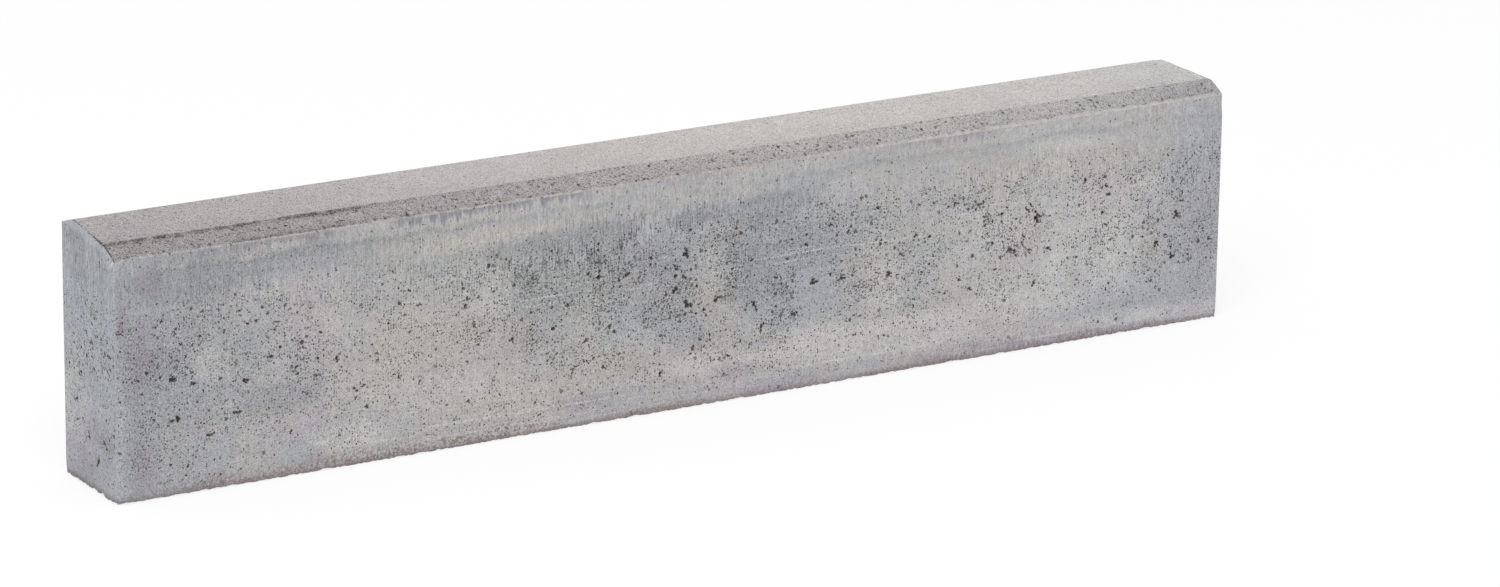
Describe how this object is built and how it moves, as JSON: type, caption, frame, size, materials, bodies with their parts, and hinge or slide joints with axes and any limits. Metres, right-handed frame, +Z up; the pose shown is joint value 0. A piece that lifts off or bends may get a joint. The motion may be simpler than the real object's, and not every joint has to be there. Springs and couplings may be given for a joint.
{
  "type": "concrete kerb stone",
  "caption": "Straight concrete kerb stone, rectangular in section, with a shallow chamfer along one top edge and square butt ends.",
  "frame": {"origin": "middle of the bed, the flat underside that the stone stands on", "axes": "+X along the stone, +Y through it from the kerb face to the back, +Z up; the kerb face with the chamfer above it looks towards -Y"},
  "size_m": [1, 0.09, 0.2],
  "materials": {
    "concrete": "dry cast concrete, matt, with fine vertical mould marks and small open air holes"
  },
  "bodies": {
    "root": {"kerb_stone": "concrete"}
  },
  "joints": []
}
